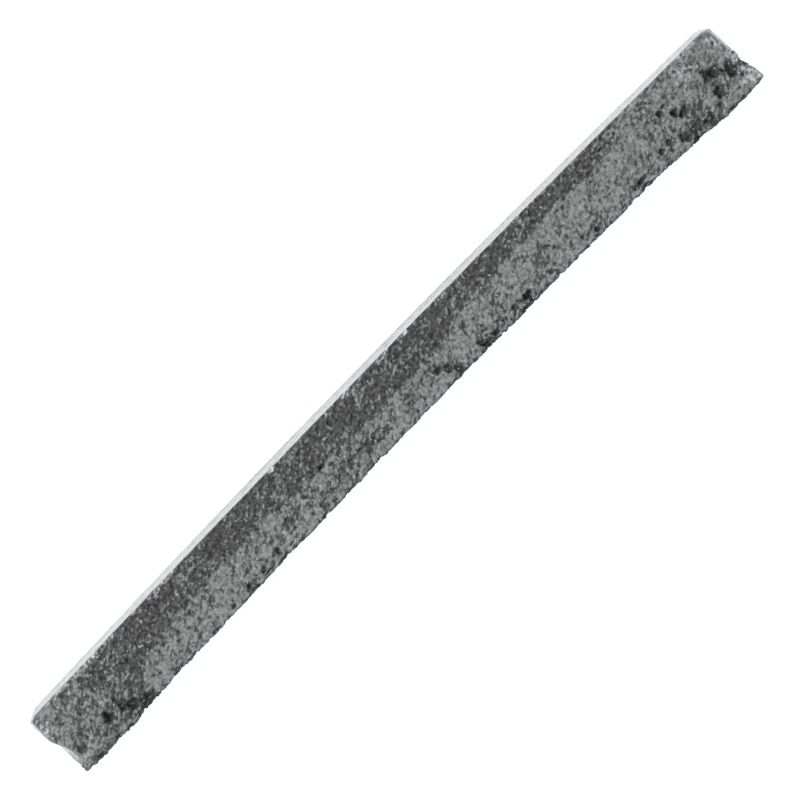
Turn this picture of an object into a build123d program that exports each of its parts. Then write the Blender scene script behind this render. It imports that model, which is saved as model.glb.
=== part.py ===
from build123d import *
from math import sqrt
import os

# A compressed charcoal stick: one solid bar pressed from charcoal powder and binder, in millimetres.
# It lies along X and rests on Z = 0. Its bounding box is centred on the origin to within 0.1 mm.
# The smooth moulded side faces +Y, and the side that crumbled when it left its mould faces -Y.
# The bar is bowed in plan, so that its smooth side is convex and its rough side is concave.

# Driving dimensions of the whole bar
length = 80.0
thickness = 6.3
half_length = length / 2

# The smooth side: a shallow bow between two moulded corners
smooth_end_y = 3.01
smooth_middle_y = 3.39
corner_radius = 0.40
bevel = 0.16

# The rough side: full width near both ends, and worn back along a bowed stretch between them
rough_left_end_y = -3.40
rough_widest = (-35.5, -3.45)
worn_back_start = (-30.5, -3.08)
worn_back_middle = (12.0, -2.65)
worn_back_stop = (28.3, -2.80)
rough_regains_width = (36.3, -3.32)
rough_right_end_y = -3.26

# The broken ends, from the smooth side to the rough side. Each point is how far the end stands out
# past the bar's nominal length, and its Y
left_end_break = [(0.50, 1.00), (0.56, -0.40), (0.54, -1.50), (0.46, -2.70)]
right_end_break = [(0.12, 1.80), (0.20, 0.30), (0.06, -1.00), (0.28, -2.10)]
left_smooth_corner_out = 0.48
left_rough_corner_out = -0.04
right_smooth_corner_out = 0.08
right_rough_corner_out = 0.42

# The slanting break in the left end: the X of its upper edge, the X and Z where it runs out, and its Y span
slant_top_x = -39.48
slant_foot = (-40.64, 0.20)
slant_y_start = -0.80
slant_y_stop = -2.80

# A shallow worn flat on the top face, which deepens towards the rough side
worn_flat_start = -31.0
worn_flat_stop = 28.5
worn_flat_inner_y = 0.55
worn_flat_drop = 0.16

# Pits in the top face: X, Y, radius, depth and turn of each
top_pits = [
    (-35.5, -1.50, 0.46, 0.40, 20),
    (-33.4, -1.95, 0.62, 0.30, 50),
    (-8.3, 0.40, 0.40, 0.25, 60),
    (4.4, -1.15, 0.40, 0.30, 10),
    (30.2, -1.50, 0.36, 0.28, 35),
    (31.9, 0.85, 0.36, 0.30, 5),
    (33.3, -0.35, 0.52, 0.45, 60),
    (34.5, -0.60, 0.42, 0.30, 15),
    (35.5, -1.90, 0.66, 0.35, 40),
    (37.3, 0.25, 0.66, 0.35, 25),
    (37.0, -1.40, 0.50, 0.40, 55),
    (38.6, -0.70, 0.50, 0.40, 30),
]
pit_sides = 5
pit_wall_angle = 30

# Chips out of the upper edge of the rough side: X, Y, length along the edge, depth and turn of each
edge_chips = [
    (-38.2, -3.42, 1.2, 0.40, 2),
    (-32.2, -3.24, 2.4, 0.55, -6),
    (-19.4, -2.84, 1.1, 0.40, 5),
    (-15.9, -2.78, 1.4, 0.45, -8),
    (5.5, -2.62, 1.3, 0.50, 10),
    (8.9, -2.64, 2.0, 0.45, -4),
    (13.2, -2.67, 1.8, 0.50, 6),
    (27.2, -2.80, 1.7, 0.50, -10),
    (32.7, -3.12, 1.5, 0.45, 8),
]

# Chips out of the upper edge of the ends: X, Y, length along the edge, depth and turn of each
end_chips = [
    (-40.2, -0.65, 0.9, 0.40, 65),
    (-39.8, -2.95, 0.7, 0.35, 110),
    (40.2, -1.00, 0.8, 0.50, 92),
]
# A chip is a square bar on its corner, sunk into the edge
chip_roll = 45


def end_points(half, direction, smooth_corner_out, break_points, rough_corner_out, rough_y):
    """Return one end's outline, from its smooth corner to its rough corner."""
    points = [(direction * (half + smooth_corner_out), smooth_end_y)]
    for out, y in break_points:
        points.append((direction * (half + out), y))
    points.append((direction * (half + rough_corner_out), rough_y))
    return points


left_end = end_points(
    half_length, -1, left_smooth_corner_out, left_end_break, left_rough_corner_out, rough_left_end_y
)
right_end = end_points(
    half_length, 1, right_smooth_corner_out, right_end_break, right_rough_corner_out, rough_right_end_y
)

with BuildPart() as charcoal_stick:
    # The pressed bar, with its bowed sides and its broken ends
    with BuildSketch(Plane.XY):
        with BuildLine():
            ThreePointArc(left_end[0], (0, smooth_middle_y), right_end[0])
            Polyline(*right_end, rough_regains_width, worn_back_stop)
            ThreePointArc(worn_back_stop, worn_back_middle, worn_back_start)
            Polyline(worn_back_start, rough_widest, *reversed(left_end))
        make_face()
    extrude(amount=thickness)

    # The two upright corners that the mould rounded
    upright_edges = charcoal_stick.edges().filter_by(Axis.Z)
    fillet(upright_edges.group_by(Axis.Y)[-1], corner_radius)

    # The bevel along the smooth side's upper and lower edges: a square bar on its corner cuts each
    for z in (0, thickness):
        with BuildLine(Plane.XY.offset(z)) as long_edge:
            ThreePointArc(left_end[0], (0, smooth_middle_y), right_end[0])
        with BuildSketch(Plane(origin=long_edge.line @ 0, z_dir=long_edge.line % 0)):
            Rectangle(bevel * sqrt(2), bevel * sqrt(2), rotation=45)
        sweep(mode=Mode.SUBTRACT)

    # The worn flat: a thin wedge off the top face, thickest at the rough side
    with BuildSketch(Plane.YZ.offset(worn_flat_start)):
        with BuildLine():
            Polyline(
                (worn_flat_inner_y, thickness),
                (rough_widest[1], thickness),
                (rough_widest[1], thickness - worn_flat_drop),
                close=True,
            )
        make_face()
    extrude(amount=worn_flat_stop - worn_flat_start, mode=Mode.SUBTRACT)

    # The slanting break: a wedge off the left end, widest at the top face
    with BuildSketch(Plane.XZ.offset(-slant_y_start)):
        with BuildLine():
            Polyline(slant_foot, (slant_top_x, thickness), (slant_foot[0], thickness), close=True)
        make_face()
    extrude(amount=slant_y_start - slant_y_stop, mode=Mode.SUBTRACT)

    # Pits where grains pulled out of the top face
    for x, y, radius, depth, turn in top_pits:
        with BuildSketch(Plane.XY.offset(thickness)):
            with Locations((x, y)):
                RegularPolygon(radius, pit_sides, rotation=turn)
        extrude(amount=-depth, taper=pit_wall_angle, mode=Mode.SUBTRACT)

    # Chips where the upper edges crumbled away
    for x, y, chip_length, depth, turn in edge_chips + end_chips:
        with Locations(Plane((x, y, thickness)).rotated((0, 0, turn))):
            Box(chip_length, depth, depth, rotation=(chip_roll, 0, 0), mode=Mode.SUBTRACT)

charcoal_stick.part.label = "charcoal_stick"

os.makedirs("parts", exist_ok=True)
export_step(charcoal_stick.part, "parts/charcoal_stick.step")
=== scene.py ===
"""Looks for the compressed charcoal stick: its crumbled surface, its materials and its studio.

Shapes are worked out in millimetres, in the frame's axes: X along the stick, +Y towards its smooth
moulded side, Z up from the surface that it lies on. They become metres when the mesh is made.
"""

from itertools import chain, product

import bpy
import numpy as np
from mathutils import Matrix, Vector
from mathutils.bvhtree import BVHTree


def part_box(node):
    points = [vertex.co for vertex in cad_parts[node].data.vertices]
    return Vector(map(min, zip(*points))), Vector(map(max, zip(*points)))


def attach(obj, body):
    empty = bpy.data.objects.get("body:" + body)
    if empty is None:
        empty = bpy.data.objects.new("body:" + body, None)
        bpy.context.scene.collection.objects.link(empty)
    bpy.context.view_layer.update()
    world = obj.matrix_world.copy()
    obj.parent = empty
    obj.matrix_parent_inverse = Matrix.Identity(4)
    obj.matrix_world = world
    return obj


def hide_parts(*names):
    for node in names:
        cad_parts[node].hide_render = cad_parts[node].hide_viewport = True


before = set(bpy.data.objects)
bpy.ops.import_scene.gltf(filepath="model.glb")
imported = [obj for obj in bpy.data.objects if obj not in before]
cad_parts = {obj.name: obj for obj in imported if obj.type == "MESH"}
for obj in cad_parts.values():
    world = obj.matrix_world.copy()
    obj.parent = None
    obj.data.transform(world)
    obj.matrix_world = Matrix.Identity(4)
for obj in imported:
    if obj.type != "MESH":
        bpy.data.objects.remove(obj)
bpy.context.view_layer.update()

NODE = "charcoal_stick"
MM = 0.001

# How many cells the surface has along X, Y and Z, and how much narrower the cells next to an edge are
CELLS = (620, 50, 28)
EDGE_CROWDING = 0.25

# Rounding of the long edges and the end edges
SMOOTH_EDGE_RADIUS = 0.11
ROUGH_EDGE_RADIUS = 0.24
END_EDGE_RADIUS = 0.34

# How far the smooth side flares out at its foot, at the ends and half way along the stick
END_FLARE = 0.06
MIDDLE_FLARE = 0.22
# How much of the flare is near the foot: a power of the share of the way down
FLARE_POWER = 3


# ---------------------------------------------------------------------------------------------------------
# Noise

TABLE_SIZE = 1024
# Brings the noise to about -1 to 1
NOISE_GAIN = 1.6


def gradient_noise(points, cell, seed):
    """Smooth noise, about -1 to 1, with features one cell wide. One value for each point."""
    random = np.random.default_rng(seed)
    gradients = random.normal(size=(TABLE_SIZE, 3))
    gradients /= np.linalg.norm(gradients, axis=1, keepdims=True)
    shuffled = random.permutation(TABLE_SIZE)
    places = points / cell + random.uniform(0, TABLE_SIZE, 3)
    corner = np.floor(places).astype(int)
    inside = places - corner
    fade = inside**3 * (inside * (inside * 6 - 15) + 10)
    total = np.zeros(len(points))
    for step in product((0, 1), repeat=3):
        i, j, k = ((corner + step) % TABLE_SIZE).T
        chosen = shuffled[(shuffled[(shuffled[i] + j) % TABLE_SIZE] + k) % TABLE_SIZE]
        slope = ((inside - step) * gradients[chosen]).sum(axis=1)
        total += slope * np.where(step, fade, 1 - fade).prod(axis=1)
    return total * NOISE_GAIN


def layered_noise(points, cell, seed, layers=3, gain=0.55):
    """Gradient noise with finer layers added, about -1 to 1."""
    total = np.zeros(len(points))
    reach = 0
    for layer in range(layers):
        total += gain**layer * gradient_noise(points, cell / 2**layer, seed + layer)
        reach += gain**layer
    return total / reach


def ease(value, low, high):
    """0 below low, 1 above high, and a smooth rise between them."""
    t = np.clip((value - low) / (high - low), 0, 1)
    return t * t * (3 - 2 * t)


def rank(values):
    """Each value's place in their order, from 0 for the lowest to 1 for the highest."""
    places = np.empty(len(values))
    places[np.argsort(values)] = np.linspace(0, 1, len(values))
    return places


# ---------------------------------------------------------------------------------------------------------
# The bar's outline, read from the CAD solid

# How many rays find each side or end, how high they run, how far from the ends the sides' rays stay,
# and how far inside the sides the ends' rays stay
OUTLINE_SAMPLES = 160
OUTLINE_HEIGHT = 0.4
CORNER_LENGTH = 0.7
ROUGH_SIDE_INSET = 0.02
SMOOTH_SIDE_INSET = 0.01


class Outline:
    """The stick's plan outline near its foot, in millimetres: where its sides and its ends are."""

    def __init__(self, cad):
        corners = [vertex.co / MM for vertex in cad.data.vertices]
        faces = [polygon.vertices[:] for polygon in cad.data.polygons]
        self.tree = BVHTree.FromPolygons(corners, faces)
        self.low, self.high = (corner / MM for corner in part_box(NODE))
        self.top = self.high.z
        self.xs = np.linspace(self.low.x + CORNER_LENGTH, self.high.x - CORNER_LENGTH, OUTLINE_SAMPLES)
        self.smooth_side = [self.hit_across(x, -1) for x in self.xs]
        self.rough_side = [self.hit_across(x, 1) for x in self.xs]
        lowest_y = max(self.rough_side[0], self.rough_side[-1]) + ROUGH_SIDE_INSET
        highest_y = min(self.smooth_side[0], self.smooth_side[-1]) - SMOOTH_SIDE_INSET
        self.ys = np.linspace(lowest_y, highest_y, OUTLINE_SAMPLES)
        self.left_end = [self.hit_along(y, 1) for y in self.ys]
        self.right_end = [self.hit_along(y, -1) for y in self.ys]

    def hit_across(self, x, way):
        """The Y where a ray along Y, going way, meets the solid at this X."""
        start = Vector((x, -2 * way * self.high.x, OUTLINE_HEIGHT))
        return self.tree.ray_cast(start, Vector((0, way, 0)))[0].y

    def hit_along(self, y, way):
        """The X where a ray along X, going way, meets the solid at this Y."""
        start = Vector((-2 * way * self.high.x, y, OUTLINE_HEIGHT))
        return self.tree.ray_cast(start, Vector((way, 0, 0)))[0].x

    def smooth(self, x):
        """The smooth side's Y at each X."""
        return np.interp(x, self.xs, self.smooth_side)

    def rough(self, x):
        """The rough side's Y at each X."""
        return np.interp(x, self.xs, self.rough_side)

    def left(self, y):
        """The -X end's X at each Y."""
        return np.interp(y, self.ys, self.left_end)

    def right(self, y):
        """The +X end's X at each Y."""
        return np.interp(y, self.ys, self.right_end)


outline = Outline(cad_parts[NODE])
TOP = outline.top
HALF = outline.high.x


# ---------------------------------------------------------------------------------------------------------
# The plain bar: a closed grid over its six sides, with rounded edges

# Where the ends' upper edges broke away on a slant: the Ys where the break starts, is whole, is still
# whole and stops, how far inwards it goes at the top, and how far down it runs out. A break that
# starts past the smooth side is whole at that side.
LEFT_BREAKS = [
    ((9.00, 8.00, -0.50, -1.50), 0.36, 1.3),
    ((1.40, -1.50, -2.10, -3.40), 0.98, 5.5),
]
RIGHT_BREAKS = [
    ((9.00, 8.00, 0.50, -0.20), 0.36, 1.3),
    ((-0.45, -0.80, -1.05, -1.40), 0.12, 0.8),
    ((-1.75, -1.90, -2.20, -2.50), 0.07, 0.5),
]

# How far from an end the long edges still have its radius, and how far from it they have their own
END_ROUNDING = (0.3, 1.4)

# The numbers that box_grid gives to the sides: twice the axis, and 1 more on the far side
LEFT_SIDE, RIGHT_SIDE, ROUGH_SIDE, SMOOTH_SIDE = range(4)


def box_grid():
    """A closed box grid: each point's three steps from the low corner, the faces, and each face's side."""
    counts = np.array(CELLS)
    strides = np.array([(counts[1] + 1) * (counts[2] + 1), counts[2] + 1, 1])
    faces, sides = [], []
    for axis, far in product(range(3), (0, 1)):
        across, up = [a for a in range(3) if a != axis]
        i, j = np.meshgrid(np.arange(counts[across]), np.arange(counts[up]), indexing="ij")
        first = (i * strides[across] + j * strides[up]).ravel() + far * counts[axis] * strides[axis]
        ring = [first, first + strides[across], first + strides[across] + strides[up], first + strides[up]]
        # The corners' order has to turn the face outwards
        outwards = (axis != 1) == bool(far)
        faces.append(np.stack(ring if outwards else ring[::-1], axis=1))
        sides.append(np.full(len(first), 2 * axis + far))
    faces = np.concatenate(faces)
    used, renumbered = np.unique(faces, return_inverse=True)
    steps = np.stack([used // strides[0], used // strides[1] % (counts[1] + 1), used % strides[1]], axis=1)
    return steps, renumbered.reshape(-1, 4), np.concatenate(sides)


def crowded(share):
    """Moves grid lines from 0 to 1 a little closer together near both ends."""
    return share - EDGE_CROWDING * np.sin(2 * np.pi * share) / (2 * np.pi)


def plain_bar(steps):
    """The sharp-edged bar's points, and each point's distance vector out of the rounded core."""
    _, across, up = crowded(steps / np.array(CELLS)).T
    along = steps[:, 0] / CELLS[0]
    z = up * TOP
    x = outline.low.x + along * (outline.high.x - outline.low.x)
    # X and Y depend on each other a little, so the second turn corrects the first
    for _ in range(2):
        y = outline.rough(x) + across * (outline.smooth(x) - outline.rough(x))
        left = outline.left(y) + broken_back(y, z, LEFT_BREAKS)
        right = outline.right(y) - broken_back(y, z, RIGHT_BREAKS)
        x = left + along * (right - left)
    radius = np.where(y > 0, SMOOTH_EDGE_RADIUS, ROUGH_EDGE_RADIUS)
    radius += (END_EDGE_RADIUS - radius) * (1 - ease(np.minimum(x - left, right - x), *END_ROUNDING))
    out_x = over_edge(x - left, right - x, radius)
    out_y = over_edge(y - outline.rough(x), outline.smooth(x) - y, radius)
    out_z = over_edge(z, TOP - z, radius)
    return np.stack([x, y, z], axis=1), np.stack([out_x, out_y, out_z], axis=1), radius


def broken_back(y, z, breaks):
    """How far an end stands back where its upper part broke away on a slant."""
    back = np.zeros(len(y))
    for (start, whole, still_whole, stop), inwards, downwards in breaks:
        across = ease(-y, -start, -whole) * (1 - ease(-y, -still_whole, -stop))
        upwards = np.clip(1 - (TOP - z) / downwards, 0, 1)
        back = np.maximum(back, inwards * across * upwards)
    return back


def over_edge(from_low, from_high, radius):
    """How far a point is past the core that lies one radius inside both faces, with its sign."""
    return np.maximum(radius - from_high, 0) - np.maximum(radius - from_low, 0)


def rounded_bar(steps):
    """The bar's points with rounded edges, and the outward direction at each."""
    points, out, radius = plain_bar(steps)
    reach = np.linalg.norm(out, axis=1)
    outward = out / reach[:, None]
    points += outward * (radius - reach)[:, None]
    foot_flare = MIDDLE_FLARE + (END_FLARE - MIDDLE_FLARE) * (points[:, 0] / HALF) ** 2
    flare = foot_flare * (1 - points[:, 2] / TOP) ** FLARE_POWER
    points[:, 1] += flare * ease(points[:, 1], 0, outline.smooth(points[:, 0]))
    return points, outward


# ---------------------------------------------------------------------------------------------------------
# Wear: chips, pits and grain, and the painted shade and painted highlights that go with them

# Pits in the top face: X, Y, radius along, radius across and depth
TOP_PITS = [
    (-38.8, -1.80, 0.70, 0.46, 0.30),
    (-33.8, -1.85, 0.66, 0.52, 0.34),
    (-33.0, -2.25, 0.72, 0.54, 0.38),
    (-32.0, -2.70, 0.90, 0.50, 0.40),
    (-28.4, -2.78, 0.60, 0.16, 0.24),
    (-21.6, -2.52, 0.30, 0.24, 0.30),
    (-20.8, -1.50, 0.20, 0.18, 0.18),
    (-19.5, -2.25, 0.28, 0.34, 0.32),
    (-17.7, -2.20, 0.30, 0.28, 0.28),
    (-17.3, -2.58, 0.80, 0.15, 0.24),
    (-15.8, -1.88, 0.30, 0.40, 0.32),
    (-8.2, 0.40, 0.55, 0.26, 0.32),
    (-6.5, 0.15, 0.45, 0.15, 0.22),
    (-5.2, 0.10, 0.35, 0.17, 0.22),
    (-5.3, 2.40, 0.45, 0.22, 0.26),
    (-6.2, -0.85, 0.35, 0.15, 0.20),
    (-5.2, -0.95, 0.42, 0.16, 0.22),
    (-4.3, -0.90, 0.30, 0.20, 0.20),
    (-3.4, -1.05, 0.34, 0.15, 0.18),
    (-9.8, -1.75, 0.30, 0.18, 0.20),
    (-13.4, -0.55, 0.40, 0.13, 0.18),
    (-14.1, -0.90, 0.34, 0.15, 0.20),
    (4.2, -0.95, 0.48, 0.34, 0.34),
    (4.8, -1.45, 0.44, 0.44, 0.46),
    (5.5, -2.05, 0.52, 0.42, 0.42),
    (8.3, -1.95, 0.42, 0.34, 0.36),
    (8.9, -2.25, 0.54, 0.34, 0.38),
    (9.8, -2.22, 0.48, 0.30, 0.36),
    (10.9, -1.93, 0.20, 0.20, 0.20),
    (12.3, -1.86, 0.42, 0.34, 0.36),
    (13.8, -1.95, 0.50, 0.42, 0.46),
    (16.5, -1.93, 0.30, 0.28, 0.30),
    (18.2, -0.76, 0.24, 0.20, 0.20),
    (20.4, -1.80, 0.24, 0.24, 0.22),
    (21.7, -2.20, 0.38, 0.26, 0.30),
    (26.5, -2.20, 0.45, 0.20, 0.26),
    (27.1, -2.05, 0.45, 0.30, 0.36),
    (30.0, -1.60, 0.36, 0.36, 0.38),
    (30.9, -1.50, 0.28, 0.42, 0.34),
    (32.1, 0.74, 0.40, 0.28, 0.46),
    (32.7, 0.98, 0.36, 0.18, 0.30),
    (33.0, -0.10, 0.38, 0.46, 0.46),
    (33.5, -0.62, 0.46, 0.40, 0.46),
    (34.1, -0.50, 0.50, 0.40, 0.26),
    (32.4, -2.05, 0.72, 0.56, 0.32),
    (33.5, -2.30, 0.72, 0.56, 0.28),
    (34.9, -2.50, 0.62, 0.38, 0.32),
    (36.2, -2.35, 0.40, 0.35, 0.30),
    (37.3, 0.10, 0.86, 0.70, 0.42),
    (37.9, -0.05, 0.70, 0.62, 0.36),
    (36.9, -1.60, 0.60, 0.60, 0.42),
    (38.95, -0.80, 0.74, 0.72, 0.44),
    (39.4, -2.00, 0.30, 0.44, 0.28),
]

# Where a clean four-sided flake came out of the top face: X, Y, half sizes and depth. Its wall stands
# between two shares of its size, and its outline wanders.
FLAKE_PIT = (-35.5, -1.55, 0.74, 0.62, 0.60)
FLAKE_WALL = (0.75, 1.0)
FLAKE_WANDER = 0.25
FLAKE_WANDER_CELL = 0.5

# Chips out of the rough side's upper edge: X, half length and depth
EDGE_CHIPS = [
    (-38.2, 0.6, 0.22),
    (-34.6, 0.9, 0.16),
    (-32.2, 1.3, 0.30),
    (-28.8, 0.5, 0.22),
    (-24.0, 0.7, 0.16),
    (-19.4, 0.6, 0.24),
    (-15.9, 0.7, 0.26),
    (-11.0, 0.5, 0.14),
    (-4.5, 0.6, 0.16),
    (5.5, 0.6, 0.28),
    (8.9, 1.0, 0.26),
    (13.2, 0.9, 0.20),
    (19.0, 0.5, 0.16),
    (27.2, 0.8, 0.26),
    (32.7, 0.8, 0.24),
    (36.6, 0.7, 0.20),
]

# Chips out of the smooth side's upper edge: X, half length and depth
SMOOTH_EDGE_CHIPS = [
    (-36.0, 0.4, 0.10),
    (-30.5, 0.6, 0.24),
    (-28.0, 0.4, 0.12),
    (-25.4, 1.2, 0.38),
    (-23.6, 0.7, 0.26),
    (-20.8, 0.4, 0.14),
    (-11.5, 0.6, 0.30),
    (-9.4, 0.4, 0.14),
    (-4.6, 0.5, 0.22),
    (-2.8, 0.9, 0.30),
    (1.6, 0.8, 0.28),
    (4.1, 0.6, 0.26),
    (8.6, 0.8, 0.24),
    (13.0, 0.4, 0.12),
    (17.5, 0.5, 0.20),
    (24.0, 0.5, 0.16),
    (30.6, 0.6, 0.20),
]

# Small pits scattered over areas of the top face: how many, the area's X span and Y span, and their
# sizes' span
SMALL_PITS = [
    (160, (-40, 40), (-2.9, 2.7), (0.10, 0.20)),
    (60, (-27, 28), (-2.7, -1.6), (0.12, 0.22)),
    (26, (28, 40), (-2.9, 2.6), (0.12, 0.26)),
    (18, (-40, -30), (-3.2, 1.0), (0.12, 0.26)),
]
SMALL_PIT_STRETCH = (0.6, 1.4)
SMALL_PIT_DEPTH = (0.5, 0.9)

# Pits scattered over the rough side: how many, how far they stay from its foot and its top, their
# sizes' span, and their stretch and depth as shares of their size
ROUGH_SIDE_PITS = 130
ROUGH_SIDE_MARGINS = (0.2, 0.5)
ROUGH_SIDE_PIT_SIZE = (0.15, 0.5)
ROUGH_SIDE_PIT_STRETCH = (0.8, 1.6)
ROUGH_SIDE_PIT_DEPTH = 0.7

# The shape of every pit: where its wall stands, as shares of its size, how ragged its outline is, how
# much deeper it is near its -X wall, where it also gets more painted shade, and how uneven its floor is
PIT_WALL = (0.66, 1.0)
PIT_RAGGEDNESS = 0.75
PIT_RAGGED_CELL = 0.8
PIT_RAGGED_GAIN = 0.7
PIT_LEAN = 0.35
PIT_UNEVENNESS = 0.5
PIT_UNEVEN_CELL = 0.45
# How far from its middle a pit can reach, in sizes, and a chip, in radii
PIT_REACH = 1.8
CHIP_REACH = 1.5
CHIP_RAGGEDNESS = 0.5
# The least distance from a chip's middle, in radii, that its points are taken to have
LEAST_DISTANCE = 0.05

# How much painted shade the shallowest pits and the rough side's chips get, from 0 to 1, and how pale the
# smooth side's chips are
SHALLOW_PIT_SHADE = 0.55
CHIP_SHADE = 0.75
SMOOTH_CHIP_PALENESS = 0.88

# The seeds of the noise and of what is scattered. A list's items take the numbers after its seed.
GRAIN_SEED = 21
BAND_SEED = 31
BLOTCH_SEED = 33
BLOCK_SEED = 35
ROUGH_SIDE_SEED = 37
SWELL_SEED = 41
STREAK_SEED = 45
DUST_SEED = 51
SCATTER_SEED = 7
EDGE_CHIP_SEED = 100
SMOOTH_EDGE_CHIP_SEED = 150
TOP_PIT_SEED = 200
FLAKE_SEED = 260
SMALL_PIT_SEED = 301
ROUGH_SIDE_PIT_SEED = 600
# What is added to the seed of a pit's outline for its floor
FLOOR_SEED_STEP = 50


def scoop(points, middle, radii, seed):
    """Pushes the points inside a ragged ellipsoid out to its surface, and returns which ones it moved."""
    radii = np.array(radii)
    offset = (points - middle) / radii
    distance = np.linalg.norm(offset, axis=1)
    near = np.flatnonzero(distance < CHIP_REACH)
    reach = 1 + CHIP_RAGGEDNESS * layered_noise(points[near], radii.mean(), seed, layers=2)
    inside = distance[near] < reach
    chosen = near[inside]
    grown = (reach[inside] / np.maximum(distance[chosen], LEAST_DISTANCE))[:, None]
    points[chosen] = middle + offset[chosen] * radii * grown
    return chosen


def dig_flake(points, shade_share):
    """Sinks the clean pit that the flake left in the top face, and marks painted shade in it."""
    x, y, half_x, half_y, depth = FLAKE_PIT
    along, across = (points[:, 0] - x) / half_x, (points[:, 1] - y) / half_y
    wander = FLAKE_WANDER * gradient_noise(points, FLAKE_WANDER_CELL, FLAKE_SEED)
    distance = np.abs(along) + np.abs(across) + wander
    amount = (1 - ease(distance, *FLAKE_WALL)) * (points[:, 2] > TOP / 2)
    points[:, 2] -= depth * amount
    np.maximum(shade_share, amount, out=shade_share)


def dig(points, outward, shade_share, middle, radii, depth, seed):
    """Sinks a ragged pit into the surface round middle, against the outward direction, and marks painted
    shade in it.
    """
    size = max(radii)
    offset = points - middle
    near = np.flatnonzero((np.abs(offset) < PIT_REACH * size).all(axis=1))
    flat = offset[near] - outward[near] * (offset[near] * outward[near]).sum(axis=1)[:, None]
    stretched = flat / np.array([radii[0], radii[1], radii[1]])
    wander = layered_noise(points[near], PIT_RAGGED_CELL * size, seed, gain=PIT_RAGGED_GAIN)
    distance = np.linalg.norm(stretched, axis=1) * (1 + PIT_RAGGEDNESS * wander)
    amount = 1 - ease(distance, *PIT_WALL)
    amount *= 1 - PIT_LEAN * np.clip(stretched[:, 0], -1, 1)
    bumps = gradient_noise(points[near], PIT_UNEVEN_CELL, seed + FLOOR_SEED_STEP)
    points[near] -= outward[near] * (depth * amount * (1 + PIT_UNEVENNESS * bumps))[:, None]
    # Painted shade in the pit, darkest near its -X wall and in deeper pits
    painted_shade = amount * min(1.0, SHALLOW_PIT_SHADE + depth)
    shade_share[near] = np.maximum(shade_share[near], painted_shade)


# How wide the grains of the pressed powder are, and how they stretch along one slanting direction
GRAIN_CELL = 0.46
GRAIN_STRETCH = 1.5
GRAIN_SLANT = np.radians(40)

# The grain's coarse and fine layers, in grain widths, and how strong each layer is beside the creases
COARSE_LAYER = 2.8
FINE_LAYER = 0.75
COARSE_STRENGTH = 0.35
CREASE_STRENGTH = 1.1
FINE_STRENGTH = 0.65

# The rubbed part of the top face: X, and the Y of its ragged inner edge
RUBBED_EDGE = [
    (-31.9, -3.2),
    (-31.2, -1.3),
    (-30.4, -0.5),
    (-28.6, -0.1),
    (-26.5, 0.4),
    (-20.0, 0.5),
    (-12.0, 0.55),
    (-5.0, 0.35),
    (-0.6, 0.2),
    (4.4, 0.35),
    (9.3, 1.2),
    (14.3, 1.35),
    (20.0, 1.7),
    (24.5, 1.5),
    (29.5, 1.8),
]

# Patches of the top face that are rubbed more or less than what is round them: X, Y, half sizes, change
PATCHES = [
    (-39.6, 1.6, 2.0, 2.2, 0.25),
    (-37.0, 3.1, 5.0, 0.5, 0.35),
    (37.5, 2.9, 4.5, 0.5, 0.30),
    (39.3, 1.7, 2.2, 2.0, 0.28),
    (39.6, -0.4, 1.2, 1.2, 0.15),
    (38.4, -2.5, 2.6, 0.9, 0.35),
    (-36.5, 0.0, 4.5, 3.5, -0.06),
    (-37.2, -2.0, 3.6, 1.3, 0.16),
    (-33.0, -2.3, 2.2, 1.0, -0.33),
    (-37.3, 0.5, 1.6, 1.6, 0.25),
    (-32.6, 1.2, 2.8, 1.9, -0.50),
    (-12.3, 1.1, 0.7, 0.7, 0.35),
    (-8.2, 1.8, 0.5, 1.2, 0.30),
    (-10.0, -1.2, 8.0, 1.8, -0.17),
    (-5.6, -0.9, 4.6, 1.1, -0.25),
    (-3.4, -1.1, 2.0, 0.8, -0.25),
    (-2.2, 2.0, 1.4, 1.2, 0.30),
    (1.7, 2.2, 1.2, 0.7, 0.22),
    (10.0, -2.1, 5.5, 0.7, -0.30),
    (19.5, 1.0, 2.5, 0.8, 0.15),
    (26.0, 0.5, 7.0, 1.2, 0.20),
    (31.5, 1.4, 4.0, 1.8, 0.12),
    (35.4, 0.1, 2.0, 1.2, 0.50),
    (34.0, -2.3, 3.0, 0.7, -0.15),
]

# Patches of the top face that pale dust lies on: X, Y, half sizes and how thick the dust is
DUSTY_PATCHES = [
    (-40.4, 1.6, 2.2, 2.4, 0.98),
    (-34.5, 3.0, 8.0, 0.62, 0.92),
    (24.0, 0.3, 7.0, 1.1, 0.62),
    (37.5, 3.0, 4.5, 0.45, 0.90),
    (39.9, 1.9, 2.0, 1.8, 0.92),
    (39.9, -0.3, 1.0, 1.2, 0.98),
    (39.7, -2.2, 1.9, 1.4, 1.02),
    (35.2, -0.4, 1.8, 1.3, 0.62),
    (35.0, -2.2, 2.2, 0.9, 0.74),
    (35.6, 1.6, 4.4, 1.7, 0.76),
    (-38.0, -2.2, 2.4, 1.4, 0.66),
]

# The top face's band and end blocks: how far the band's inner edge wanders and fades, the Xs over
# which the -X block stops and the +X block starts, and how far those wander
BAND_WANDER = 0.60
BAND_WANDER_CELL = 1.5
BAND_FADE = 0.15
LEFT_BLOCK = (-34.5, -29.5)
RIGHT_BLOCK = (26.0, 31.0)
BLOCK_WANDER = 2.5
BLOCK_WANDER_CELL = 5.0

# Blotches between the blocks, and how much weaker they are in the blocks
BLOTCH_CHANGE = 0.16
BLOTCH_LOSS = 0.10
BLOTCH_CELL = 1.6

# How the patches fade out, as shares of their half sizes, and how much of the band's wander they share
PATCH_FADE = (0.3, 1.2)
PATCH_WANDER = 0.3

# The painted highlight on the ends' upper edges, painted by raising their rubbed share: how far in it
# reaches, and the Ys over which it sets in
END_RIM_HIGHLIGHT_REACH = (0.2, 0.6)
SMOOTH_HALF = (-1.5, 0.5)

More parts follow.
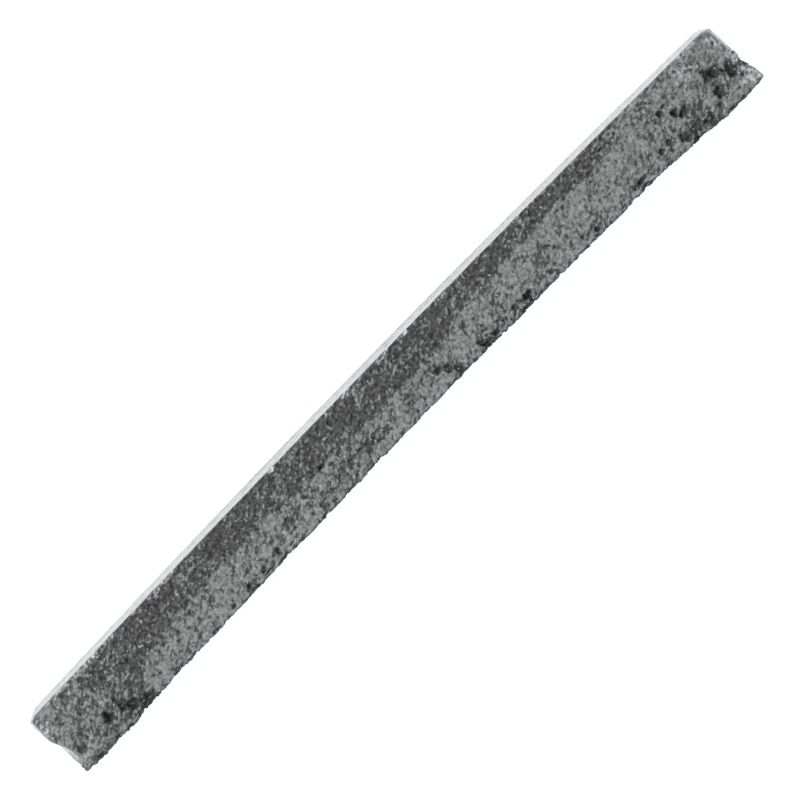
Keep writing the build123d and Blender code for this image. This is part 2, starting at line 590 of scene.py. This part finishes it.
# How the dusty patches fade out and wander, and how much a surface that they lie on has to face up
DUST_FADE = (0.2, 1.3)
DUST_WANDER = 0.3
DUST_WANDER_CELL = 1.2
DUST_SLOPE = (0.35, 0.75)

# The painted highlight on the ends' upper edges, in the dust colour: how strong it is, how far in it
# reaches and wanders, how much the surface has to face up, and how far from the middle it starts again on
# the +X end's rough half, where it is weaker
EDGE_HIGHLIGHT = 1.20
EDGE_HIGHLIGHT_REACH = (0.25, 0.65)
EDGE_HIGHLIGHT_WANDER = 0.15
EDGE_HIGHLIGHT_SLOPE = (0.02, 0.25)
CORNER_HIGHLIGHT_START = (1.4, 2.0)
CORNER_HIGHLIGHT = 0.9

# How much of each kind of surface is rubbed, which makes it smoother and paler, the paleness partly a
# painted sheen, from 0 to 1, and the least and the most on the top face
RUBBED_SHARE = 0.84
UNRUBBED_SHARE = 0.12
END_BLOCK_SHARE = 0.67
# A painted highlight: the ends' upper edges on the smooth half are made paler, which also hides the shade
# of their rounding
END_RIM_HIGHLIGHT = 0.60
SMOOTH_SIDE_SHARE = 0.93
ROUGH_SIDE_SHARE = 0.10
ROUGH_SIDE_CHANGE = 0.35
ROUGH_SIDE_CELL = 2.2
UNDERSIDE_SHARE = 0.70
END_SHARE = 0.75
CRUMBLED_LOSS = 0.5
TOP_SHARE_LIMITS = (0.04, 0.97)

# How far from the middle, towards the rough side, each end starts to be crumbled and is wholly crumbled
RIGHT_CRUMBLED = (-0.6, 0.6)
LEFT_CRUMBLED = (0.5, 3.0)


def grain_heights(points):
    """The pressed powder's height before any rubbing, as rounded grains with creases between them."""
    turned = np.stack(
        [
            points[:, 0] * np.cos(GRAIN_SLANT) + points[:, 1] * np.sin(GRAIN_SLANT),
            points[:, 1] * np.cos(GRAIN_SLANT) - points[:, 0] * np.sin(GRAIN_SLANT),
            points[:, 2],
        ],
        axis=1,
    )
    turned[:, 0] /= GRAIN_STRETCH
    coarse = gradient_noise(turned, COARSE_LAYER * GRAIN_CELL, GRAIN_SEED)
    creases = np.abs(gradient_noise(turned, GRAIN_CELL, GRAIN_SEED + 1))
    fine = gradient_noise(turned, FINE_LAYER * GRAIN_CELL, GRAIN_SEED + 2)
    return COARSE_STRENGTH * coarse + CREASE_STRENGTH * creases + FINE_STRENGTH * fine


def end_distance(points):
    """How far along X each point is from the nearer end."""
    x, y = points[:, 0], points[:, 1]
    return np.minimum(x - outline.left(y), outline.right(y) - x)


def rubbed_band(points, wander):
    """How far inside the rubbed band of the top face each point is, from 0 to 1."""
    knots = np.array(RUBBED_EDGE)
    inner_edge = np.interp(points[:, 0], knots[:, 0], knots[:, 1]) + wander
    inside = ease(inner_edge - points[:, 1], -BAND_FADE, BAND_FADE)
    return inside * ease(points[:, 0], RUBBED_EDGE[0][0], RUBBED_EDGE[1][0])


def end_blocks(points):
    """How far inside the end blocks, where the top face has no band, each point is, from 0 to 1."""
    wander = BLOCK_WANDER * layered_noise(points, BLOCK_WANDER_CELL, BLOCK_SEED, layers=2)
    x = points[:, 0] + wander
    return np.clip(1 - ease(x, *LEFT_BLOCK) + ease(x, *RIGHT_BLOCK), 0, 1)


def patch_distance(points, patch_x, patch_y, half_x, half_y):
    """How far each point is from a patch's middle, in half sizes."""
    return np.hypot((points[:, 0] - patch_x) / half_x, (points[:, 1] - patch_y) / half_y)


def top_share(points):
    """How much of the top face is rubbed at each point: smoother, and paler partly by a painted sheen."""
    wander = BAND_WANDER * layered_noise(points, BAND_WANDER_CELL, BAND_SEED, layers=4, gain=0.6)
    share = UNRUBBED_SHARE + (RUBBED_SHARE - UNRUBBED_SHARE) * rubbed_band(points, wander)
    blocks = end_blocks(points)
    share += (END_BLOCK_SHARE - share) * blocks
    blotches = layered_noise(points, BLOTCH_CELL, BLOTCH_SEED, layers=2)
    share += (BLOTCH_CHANGE - BLOTCH_LOSS * blocks) * blotches
    # Painted highlight along the ends' upper edges on the smooth half
    near_end = 1 - ease(end_distance(points) + PATCH_WANDER * wander, *END_RIM_HIGHLIGHT_REACH)
    share += END_RIM_HIGHLIGHT * near_end * ease(points[:, 1], *SMOOTH_HALF)
    for *place, change in PATCHES:
        distance = patch_distance(points, *place) + PATCH_WANDER * wander
        share += change * (1 - ease(distance, *PATCH_FADE))
    return np.clip(share, *TOP_SHARE_LIMITS)


def dust_and_edge_highlight(points, outward):
    """How much pale colour the top face gets at each point, from 0 to 1: dust in patches, and a painted
    highlight along the ends' upper edges.
    """
    wander = layered_noise(points, DUST_WANDER_CELL, DUST_SEED)
    dust = np.zeros(len(points))
    for *place, thickness in DUSTY_PATCHES:
        distance = patch_distance(points, *place) + DUST_WANDER * wander
        dust = np.maximum(dust, thickness * (1 - ease(distance, *DUST_FADE)))
    dust *= ease(outward[:, 2], *DUST_SLOPE)
    # Painted highlight along the ends' upper edges, in the dust colour
    near_end = 1 - ease(end_distance(points) + EDGE_HIGHLIGHT_WANDER * wander, *EDGE_HIGHLIGHT_REACH)
    corner = CORNER_HIGHLIGHT * (points[:, 0] > 0) * ease(-points[:, 1], *CORNER_HIGHLIGHT_START)
    edge_highlight = EDGE_HIGHLIGHT * near_end * np.maximum(ease(points[:, 1], *SMOOTH_HALF), corner)
    return np.maximum(dust, edge_highlight * ease(outward[:, 2], *EDGE_HIGHLIGHT_SLOPE))


def rubbed_share(points, outward):
    """How much of the surface is rubbed at each point, on every side: smoother, and paler partly by a
    painted sheen.
    """
    up, down, smooth, rough, end = kinds(outward)
    patches = ROUGH_SIDE_CHANGE * layered_noise(points, ROUGH_SIDE_CELL, ROUGH_SIDE_SEED)
    sides = smooth * SMOOTH_SIDE_SHARE + rough * np.clip(ROUGH_SIDE_SHARE + patches, 0, 1)
    ends = end * END_SHARE * (1 - CRUMBLED_LOSS * crumbled_end(points))
    return up * top_share(points) + down * UNDERSIDE_SHARE + sides + ends


def crumbled_end(points):
    """How crumbled an end is: the +X end over its rough half, the -X end towards its rough corner."""
    right = ease(-points[:, 1], *RIGHT_CRUMBLED)
    left = ease(-points[:, 1], *LEFT_CRUMBLED)
    return np.where(points[:, 0] > 0, right, left)


def kinds(outward):
    """How much each point faces up, down, to the smooth side, the rough side and an end: 1 in all."""
    squares = outward**2
    up = squares[:, 2] * (outward[:, 2] > 0)
    smooth = squares[:, 1] * (outward[:, 1] > 0)
    return up, squares[:, 2] - up, smooth, squares[:, 1] - smooth, squares[:, 0]


# How deep the grain is and how high the surface swells where it faces up, down, to the smooth side,
# to the rough side and to an end, and what each gains where an end is crumbled
GRAIN_DEPTHS = (0.20, 0.05, 0.03, 0.26, 0.08)
CRUMBLED_GRAIN = 0.15
SWELLS = (0.05, 0.02, 0.02, 0.16, 0.08)
CRUMBLED_SWELL = 0.04
SWELL_CELL = 1.9

# How much of the grain above the rubbing level is rubbed off, and how much less contrast the -X end has
RUBBED_OFF = 0.85
LEFT_SOFTNESS = 0.25
LEFT_SOFT_SPAN = (-36, -30)

# Drag marks along the smooth side and the underside: depth, length and width
STREAK_DEPTH = 0.012
STREAK_LENGTH = 7.0
STREAK_CELL = 0.45


def roughen(points, outward):
    """Gives the surface its grain, and returns how far each point is above the rubbing level."""
    faces = kinds(outward)
    _, down, smooth, _, end = faces
    order = rank(grain_heights(points))
    margin = order - (1 - rubbed_share(points, outward))
    margin *= 1 - LEFT_SOFTNESS * (1 - ease(points[:, 0], *LEFT_SOFT_SPAN))
    relief = (order - 0.5) - RUBBED_OFF * np.maximum(margin, 0)
    crumbly = end * crumbled_end(points)
    grain = sum(face * depth for face, depth in zip(faces, GRAIN_DEPTHS)) + CRUMBLED_GRAIN * crumbly
    swell = sum(face * height for face, height in zip(faces, SWELLS)) + CRUMBLED_SWELL * crumbly
    height = grain * relief + swell * layered_noise(points, SWELL_CELL, SWELL_SEED)
    shortened = points / np.array([STREAK_LENGTH, 1.0, 1.0])
    height += STREAK_DEPTH * (smooth + down) * gradient_noise(shortened, STREAK_CELL, STREAK_SEED)
    points += outward * height[:, None]
    return margin


# The middles of the chips, outwards from the edge and up from the top face, and their radii across
# and up, all in chip depths
EDGE_CHIP_MIDDLE = (0.25, 0.35)
EDGE_CHIP_RADII = (1.6, 2.0)
SMOOTH_EDGE_CHIP_MIDDLE = (0.2, 0.5)
SMOOTH_EDGE_CHIP_RADII = (1.5, 1.5)


def chip_edges(points):
    """Breaks chips out of the upper edges of both sides.

    Returns the painted shade at each point inside the rough side's chips, and how pale each point is
    inside the smooth side's.
    """
    chip_shade = np.zeros(len(points))
    dust_and_highlight = np.zeros(len(points))
    (out, up), (across, tall) = EDGE_CHIP_MIDDLE, EDGE_CHIP_RADII
    for number, (x, half_length, depth) in enumerate(EDGE_CHIPS):
        middle = np.array([x, outline.rough(x) - out * depth, TOP + up * depth])
        radii = (half_length, across * depth, tall * depth)
        chip_shade[scoop(points, middle, radii, EDGE_CHIP_SEED + number)] = CHIP_SHADE
    (out, up), (across, tall) = SMOOTH_EDGE_CHIP_MIDDLE, SMOOTH_EDGE_CHIP_RADII
    for number, (x, half_length, depth) in enumerate(SMOOTH_EDGE_CHIPS):
        middle = np.array([x, outline.smooth(x) + out * depth, TOP + up * depth])
        radii = (half_length, across * depth, tall * depth)
        dust_and_highlight[scoop(points, middle, radii, SMOOTH_EDGE_CHIP_SEED + number)] = SMOOTH_CHIP_PALENESS
    return chip_shade, dust_and_highlight


def scattered_side_pits(random):
    """The middle, radii, depth and seed of each pit in the rough side."""
    foot, head = ROUGH_SIDE_MARGINS
    for number in range(ROUGH_SIDE_PITS):
        x, z = random.uniform(-HALF, HALF), random.uniform(foot, TOP - head)
        size = random.uniform(*ROUGH_SIDE_PIT_SIZE)
        radii = (size * random.uniform(*ROUGH_SIDE_PIT_STRETCH), size)
        middle = np.array([x, outline.rough(x), z])
        yield middle, radii, ROUGH_SIDE_PIT_DEPTH * size, ROUGH_SIDE_PIT_SEED + number


def scattered_top_pits(random):
    """The middle, radii, depth and seed of each small pit in the top face."""
    seed = SMALL_PIT_SEED
    for count, span_x, span_y, sizes in SMALL_PITS:
        for _ in range(count):
            middle = np.array([random.uniform(*span_x), random.uniform(*span_y), TOP])
            size = random.uniform(*sizes)
            stretch = random.uniform(*SMALL_PIT_STRETCH)
            depth = size * random.uniform(*SMALL_PIT_DEPTH)
            yield middle, (size * stretch, size / stretch), depth, seed
            seed += 1


def dig_pits(points, outward):
    """Digs the pits and returns how much painted shade each point gets in them, from 0 to 1."""
    shade_share = np.zeros(len(points))
    dig_flake(points, shade_share)
    for number, (x, y, along, across, depth) in enumerate(TOP_PITS):
        middle = np.array([x, y, TOP])
        dig(points, outward, shade_share, middle, (along, across), depth, TOP_PIT_SEED + number)
    random = np.random.default_rng(SCATTER_SEED)
    for pit in chain(scattered_side_pits(random), scattered_top_pits(random)):
        dig(points, outward, shade_share, *pit)
    return shade_share


# The bake layout, in millimetres of stick: each long side is two strips, with the ends beside them
STRIP_LENGTH = 40.3
STRIP_WIDTH = 6.3
STRIP_GAP = 0.3
STRIPS = 8


def bake_layout(steps, faces, sides):
    """Each face corner's place in the bake layout, from 0 to 1."""
    shares = (steps / np.array(CELLS))[faces]
    along, across, up = shares[..., 0], shares[..., 1], shares[..., 2]
    side = sides[:, None]
    half = (shares[..., 0].mean(axis=1) > 0.5)[:, None]
    row = STRIP_WIDTH + STRIP_GAP
    u = STRIP_LENGTH * (2 * along - half)
    v = row * (2 * (side - ROUGH_SIDE) + half) + STRIP_WIDTH * np.where(side <= SMOOTH_SIDE, up, across)
    ends = side <= RIGHT_SIDE
    u = np.where(ends, STRIP_LENGTH + STRIP_GAP + STRIP_WIDTH * across, u)
    v = np.where(ends, row * side + STRIP_WIDTH * up, v)
    return np.stack([u, v], axis=-1) / (STRIPS * row)


def moulded_faces(points, faces, sides):
    """1 for the moulded faces, which are the smooth side, the -X end and half of the +X end, or else 0."""
    on_rough_half = points[faces].mean(axis=1)[:, 1] < 0
    moulded = (sides == LEFT_SIDE) | (sides == SMOOTH_SIDE) | ((sides == RIGHT_SIDE) & ~on_rough_half)
    return moulded.astype(np.int32)


def build_stick():
    """Makes the stick's mesh object, with its wear, painted shade and painted highlights as mesh
    attributes, and its two materials.
    """
    steps, faces, sides = box_grid()
    points, outward = rounded_bar(steps)
    chip_shade, dust_and_highlight = chip_edges(points)
    margin = roughen(points, outward)
    shade_share = np.maximum(dig_pits(points, outward), chip_shade)
    points[:, 2] = np.maximum(points[:, 2], 0)
    dust_and_highlight = np.maximum(dust_and_highlight, dust_and_edge_highlight(points, outward))
    mesh = bpy.data.meshes.new("charcoal_bar")
    mesh.from_pydata((points * MM).tolist(), [], faces.tolist())
    mesh.polygons.foreach_set("use_smooth", np.ones(len(faces), bool))
    layers = {"rubbed_margin": margin, "painted_pit_shade": shade_share, "dust_and_highlight": dust_and_highlight}
    for name, values in layers.items():
        layer = mesh.attributes.new(name, "FLOAT", "POINT")
        layer.data.foreach_set("value", values.astype(np.float32))
    layout = mesh.uv_layers.new(name="OFBake")
    layout.uv.foreach_set("vector", bake_layout(steps, faces, sides).ravel().astype(np.float32))
    stick = bpy.data.objects.new("charcoal_bar", mesh)
    mesh.materials.append(charcoal_material("crumbled_charcoal", CRUMBLED_LOOK))
    mesh.materials.append(charcoal_material("moulded_charcoal", MOULDED_LOOK))
    mesh.polygons.foreach_set("material_index", moulded_faces(points, faces, sides))
    mesh.update()
    bpy.context.scene.collection.objects.link(stick)
    return stick


# ---------------------------------------------------------------------------------------------------------
# Materials

# How strong each finer layer of the materials' noise is beside the one before
NOISE_ROUGHNESS = 0.6


def new_material(name):
    """A new node material: its node tree and its shader."""
    material = bpy.data.materials.new(name)
    material.use_nodes = True
    return material, material.node_tree, material.node_tree.nodes["Principled BSDF"]


def math_node(tree, operation, first, second):
    """A Math node's output. Each input is a number or another node's output."""
    node = tree.nodes.new("ShaderNodeMath")
    node.operation = operation
    for socket, value in zip(node.inputs, (first, second)):
        if isinstance(value, (int, float)):
            socket.default_value = value
        else:
            tree.links.new(value, socket)
    return node.outputs[0]


def mix_node(tree, kind, share, first, second):
    """A Mix node's output, of colours ("RGBA") or numbers ("FLOAT")."""
    node = tree.nodes.new("ShaderNodeMix")
    node.data_type = kind
    inputs = [socket for socket in node.inputs if socket.enabled]
    for socket, value in zip(inputs, (share, first, second)):
        if isinstance(value, bpy.types.NodeSocket):
            tree.links.new(value, socket)
        else:
            socket.default_value = value
    return next(socket for socket in node.outputs if socket.enabled)


def attribute_node(tree, name):
    """A mesh attribute's number."""
    node = tree.nodes.new("ShaderNodeAttribute")
    node.attribute_name = name
    return node.outputs["Fac"]


def noise_node(tree, where, cell, layers):
    """Noise about 0 to 1, with features one cell wide. where gives the place, in millimetres."""
    node = tree.nodes.new("ShaderNodeTexNoise")
    node.inputs["Scale"].default_value = 1 / cell
    node.inputs["Detail"].default_value = layers - 1
    node.inputs["Roughness"].default_value = NOISE_ROUGHNESS
    tree.links.new(where, node.inputs["Vector"])
    return node.outputs["Fac"]


def range_node(tree, value, low, high):
    """0 where value is below low, 1 above high, and a smooth rise between."""
    node = tree.nodes.new("ShaderNodeMapRange")
    node.interpolation_type = "SMOOTHSTEP"
    node.inputs["From Min"].default_value = low
    node.inputs["From Max"].default_value = high
    tree.links.new(value, node.inputs["Value"])
    return node.outputs["Result"]


def millimetres(tree, turn=0.0, stretch=1.0):
    """The object's own coordinates in millimetres, turned about Z and then shrunk along the new X."""
    source = tree.nodes.new("ShaderNodeTexCoord")
    mapping = tree.nodes.new("ShaderNodeMapping")
    mapping.vector_type = "TEXTURE"
    mapping.inputs["Rotation"].default_value = (0, 0, turn)
    mapping.inputs["Scale"].default_value = (MM * stretch, MM, MM)
    tree.links.new(source.outputs["Object"], mapping.inputs["Vector"])
    return mapping.outputs["Vector"]


# Each look: the darkest and palest colours of unrubbed and rubbed charcoal, the rubbed ones paler
# partly as a painted sheen, the roughness of both, how glossy it is, and its finest relief in millimetres.
# Then how much fine grit and thin cracks break up the rubbed parts, how gradually rubbed turns to
# unrubbed, how strong the glints are, and how long and how wide the blotches are in millimetres.
CRUMBLED_LOOK = {
    "unrubbed": ((0.0195, 0.0188, 0.0191, 1), (0.071, 0.0715, 0.0718, 1)),
    "rubbed": ((0.085, 0.092, 0.091, 1), (0.196, 0.2115, 0.2085, 1)),
    "roughness": (0.92, 0.62),
    "specular": 0.25,
    "relief": 0.16,
    "grit": 1.0,
    "cracks": 4.5,
    "fade": 0.42,
    "glints": 0.9,
    "blotch": (0.29, 0.29),
}
MOULDED_LOOK = {
    "unrubbed": ((0.030, 0.0305, 0.031, 1), (0.050, 0.0515, 0.0525, 1)),
    "rubbed": ((0.058, 0.060, 0.062, 1), (0.095, 0.100, 0.103, 1)),
    "roughness": (0.50, 0.28),
    "specular": 0.65,
    "relief": 0.02,
    "grit": 0.8,
    "cracks": 0.0,
    "fade": 0.56,
    "glints": 0.0,
    "blotch": (2.4, 0.40),
}
# The painted shade in the pits and in the rough side's chips
PIT_SHADE_COLOUR = (0.020, 0.0188, 0.0183, 1)
GLINT_COLOUR = (0.25, 0.26, 0.26, 1)
# The pale colour of dust, also painted as a highlight along the ends' upper edges
DUST_AND_HIGHLIGHT_COLOUR = (0.42, 0.44, 0.45, 1)

# The fine grit and the thin cracks: cell in millimetres and layers of noise, and how far from its
# middle value the cracks' noise has to be for a plate to start
GRIT = (0.27, 1.7)
CRACKS = (0.42, 2)
CRACK_WIDTH = 0.09

# The blotches' layers, and the span of their noise from dark to pale
BLOTCH_LAYERS = 4
BLOTCH_SPAN = (0.32, 0.68)

# How much the grit breaks up the pits' painted shade and the dust with its painted highlights, where each
# sets in, and how strongly each is mixed in
PIT_GRIT = 1.1
PIT_SPAN = (0.90, 1.50)
PIT_SHADE_COVER = 0.9
DUST_HIGHLIGHT_GRIT = 1.4
DUST_HIGHLIGHT_SPAN = (1.45, 1.95)
DUST_HIGHLIGHT_COVER = 0.8

# The glints' noise, and the span of it over which they set in
GLINTS = (0.28, 1)
GLINT_SPAN = (0.725, 0.825)

# How much flatter the finest relief is where the charcoal is rubbed
RUBBED_FLATNESS = 0.75


def rubbed_node(tree, look, grain, grit):
    """How rubbed the surface looks, from 0 to 1: its rubbing level, broken up by grit and thin cracks."""
    loose = math_node(tree, "MULTIPLY", math_node(tree, "SUBTRACT", grit, 0.5), look["grit"])
    ridges = math_node(tree, "SUBTRACT", noise_node(tree, grain, *CRACKS), 0.5)
    plates = math_node(tree, "SUBTRACT", math_node(tree, "ABSOLUTE", ridges, 0), CRACK_WIDTH)
    level = math_node(tree, "ADD", attribute_node(tree, "rubbed_margin"), loose)
    level = math_node(tree, "ADD", level, math_node(tree, "MULTIPLY", plates, look["cracks"]))
    return range_node(tree, level, -look["fade"], look["fade"])


def powder_colour(tree, look, rubbed):
    """The charcoal's colour, blotched, and paler where it is rubbed: real wear, whose paleness is partly a
    painted sheen.
    """
    length, width = look["blotch"]
    blotches = noise_node(tree, millimetres(tree, stretch=length / width), width, BLOTCH_LAYERS)
    tone = range_node(tree, blotches, *BLOTCH_SPAN)
    dark = mix_node(tree, "RGBA", tone, *look["unrubbed"])
    pale = mix_node(tree, "RGBA", tone, *look["rubbed"])
    return mix_node(tree, "RGBA", rubbed, dark, pale)


def mix_in_spots(tree, colour, spot_colour, attribute, grit, grit_strength, span, spot_strength):
    """Mixes in another colour in ragged spots, as far as one of the mesh's attributes says: used for the
    painted shade in the pits and chips, and for pale dust with painted highlights.
    """
    ragged = math_node(tree, "MULTIPLY", grit, grit_strength)
    amount = range_node(tree, math_node(tree, "ADD", attribute_node(tree, attribute), ragged), *span)
    return mix_node(tree, "RGBA", math_node(tree, "MULTIPLY", amount, spot_strength), colour, spot_colour)


def charcoal_material(name, look):
    """Pressed charcoal: dark powder, paler where it is rubbed partly as a painted sheen, painted shade in
    the pits, glints, and pale dust with painted highlights.
    """
    material, tree, shader = new_material(name)
    grain = millimetres(tree, GRAIN_SLANT, GRAIN_STRETCH)
    grit = noise_node(tree, grain, *GRIT)
    rubbed = rubbed_node(tree, look, grain, grit)
    colour = powder_colour(tree, look, rubbed)
    colour = mix_in_spots(tree, colour, PIT_SHADE_COLOUR, "painted_pit_shade", grit, PIT_GRIT, PIT_SPAN, PIT_SHADE_COVER)
    glints = range_node(tree, noise_node(tree, millimetres(tree), *GLINTS), *GLINT_SPAN)
    glinting = math_node(tree, "MULTIPLY", glints, look["glints"])
    colour = mix_node(tree, "RGBA", glinting, colour, GLINT_COLOUR)
    colour = mix_in_spots(tree, colour, DUST_AND_HIGHLIGHT_COLOUR, "dust_and_highlight", grit, DUST_HIGHLIGHT_GRIT, DUST_HIGHLIGHT_SPAN, DUST_HIGHLIGHT_COVER)
    tree.links.new(colour, shader.inputs["Base Color"])
    tree.links.new(mix_node(tree, "FLOAT", rubbed, *look["roughness"]), shader.inputs["Roughness"])
    shader.inputs["Specular IOR Level"].default_value = look["specular"]
    bump = tree.nodes.new("ShaderNodeBump")
    flattened = math_node(tree, "MULTIPLY", rubbed, RUBBED_FLATNESS)
    tree.links.new(math_node(tree, "SUBTRACT", 1.0, flattened), bump.inputs["Strength"])
    bump.inputs["Distance"].default_value = look["relief"] * MM
    tree.links.new(grit, bump.inputs["Height"])
    tree.links.new(bump.outputs["Normal"], shader.inputs["Normal"])
    return material


# ---------------------------------------------------------------------------------------------------------
# The studio

# The floor: its size and its gap below the stick in metres, its colour, and a glow that keeps it pale
FLOOR_SIZE = 12
FLOOR_GAP = 0.01 * MM
FLOOR_COLOUR = (0.86, 0.86, 0.86, 1)
FLOOR_ROUGHNESS = 0.9
FLOOR_GLOW = (0.79, 0.92, 1, 1)
FLOOR_GLOW_STRENGTH = 0.68

# The light: how bright the white surroundings are, and the key light's direction, distance and size
# in metres, and power in watts
SURROUNDINGS = 0.85
KEY_DIRECTION = (-0.55, 0.55, 0.75)
KEY_DISTANCE = 0.9
KEY_SIZE = 0.35
KEY_POWER = 9.0


def add_floor():
    """A plain pale floor under the stick."""
    bpy.ops.mesh.primitive_plane_add(size=FLOOR_SIZE, location=(0, 0, -FLOOR_GAP))
    floor = bpy.context.object
    floor.name = "floor"
    material, _, shader = new_material("pale_floor")
    shader.inputs["Base Color"].default_value = FLOOR_COLOUR
    shader.inputs["Roughness"].default_value = FLOOR_ROUGHNESS
    shader.inputs["Emission Color"].default_value = FLOOR_GLOW
    shader.inputs["Emission Strength"].default_value = FLOOR_GLOW_STRENGTH
    floor.data.materials.append(material)


def add_light(name, direction, distance, size, power):
    """A square soft light that shines at the stick from a direction."""
    lamp = bpy.data.lights.new(name, "AREA")
    lamp.size = size
    lamp.energy = power
    holder = bpy.data.objects.new(name, lamp)
    away = Vector(direction).normalized()
    holder.location = away * distance
    holder.rotation_euler = away.to_track_quat("Z", "Y").to_euler()
    bpy.context.scene.collection.objects.link(holder)


def light_studio():
    """Even white light all round, and a soft key light."""
    world = bpy.data.worlds.new("studio")
    world.use_nodes = True
    world.node_tree.nodes["Background"].inputs["Color"].default_value = (1, 1, 1, 1)
    world.node_tree.nodes["Background"].inputs["Strength"].default_value = SURROUNDINGS
    bpy.context.scene.world = world
    add_light("key", KEY_DIRECTION, KEY_DISTANCE, KEY_SIZE, KEY_POWER)
    bpy.context.scene.view_settings.view_transform = "Standard"


# The camera looks almost straight down, from a little way towards the smooth side. Its lens, its view's
# width and its view's centre, to the right of the stick's middle and up, are in millimetres. What it
# sees lies between two distances in metres.
CAMERA_TILT = np.radians(4.2)
CAMERA_ROLL = np.radians(45.7)
LENS = 200
VIEW_WIDTH = 66.1
CENTRE_OFFSET = (0.38, -0.17)
NEAREST_SEEN = 0.01
FARTHEST_SEEN = 50


def add_camera():
    """The camera, rolled so that the stick rises to the right across the picture."""
    camera = bpy.data.cameras.new("camera")
    camera.lens = LENS
    camera.clip_start = NEAREST_SEEN
    camera.clip_end = FARTHEST_SEEN
    back = Vector((0, np.sin(CAMERA_TILT), np.cos(CAMERA_TILT)))
    across = Vector((0, back.z, -back.y))
    along = Vector((1, 0, 0))
    right = along * np.cos(CAMERA_ROLL) - across * np.sin(CAMERA_ROLL)
    up = along * np.sin(CAMERA_ROLL) + across * np.cos(CAMERA_ROLL)
    distance = VIEW_WIDTH * camera.lens / camera.sensor_width
    target = Vector((0, 0, TOP)) + right * CENTRE_OFFSET[0] + up * CENTRE_OFFSET[1]
    place = (target + back * distance) * MM
    holder = bpy.data.objects.new("camera", camera)
    holder.matrix_world = Matrix.Translation(place) @ Matrix((right, up, back)).transposed().to_4x4()
    bpy.context.scene.collection.objects.link(holder)
    bpy.context.scene.camera = holder


add_camera()
stick = build_stick()
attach(stick, "root")
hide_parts(NODE)
add_floor()
light_studio()
